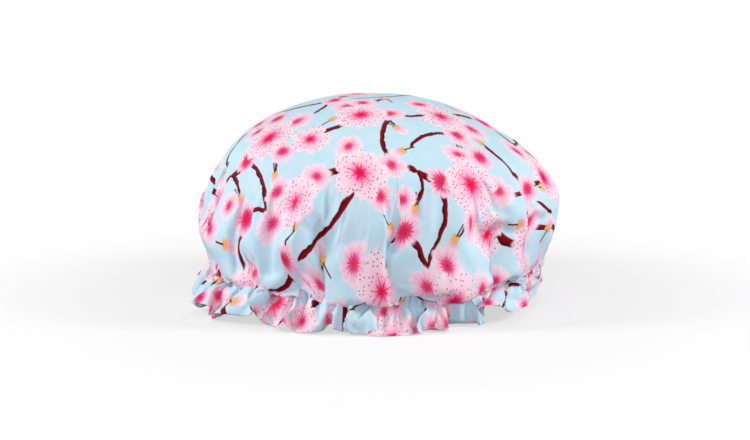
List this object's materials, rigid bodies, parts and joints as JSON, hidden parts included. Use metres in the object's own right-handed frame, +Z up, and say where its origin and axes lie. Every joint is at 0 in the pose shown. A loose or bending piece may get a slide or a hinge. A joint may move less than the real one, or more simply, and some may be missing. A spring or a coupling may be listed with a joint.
{
  "type": "shower cap",
  "caption": "Bouffant shower cap: a printed cloth crown over a waterproof lining, gathered by an elastic band in a stitched casing above a ruffled frill.",
  "frame": {"origin": "middle of the hem's footprint, on the surface that the cap stands on", "axes": "+Z up through the crown, -Y the front of the cap, +X to the right of its front"},
  "size_m": [0.2759, 0.2833, 0.161],
  "materials": {
    "printed_cloth": "satin",
    "lining_film": "satin",
    "elastic": "matte",
    "thread": "satin"
  },
  "bodies": {
    "root": {"outer_cover": "printed_cloth", "waterproof_lining": "lining_film", "elastic_band": "elastic", "elastic_lap_tack": "thread", "upper_casing_needle_thread": "thread", "upper_casing_bobbin_thread": "thread", "lower_casing_needle_thread": "thread", "lower_casing_bobbin_thread": "thread", "hem_needle_thread": "thread", "hem_bobbin_thread": "thread"}
  },
  "joints": []
}
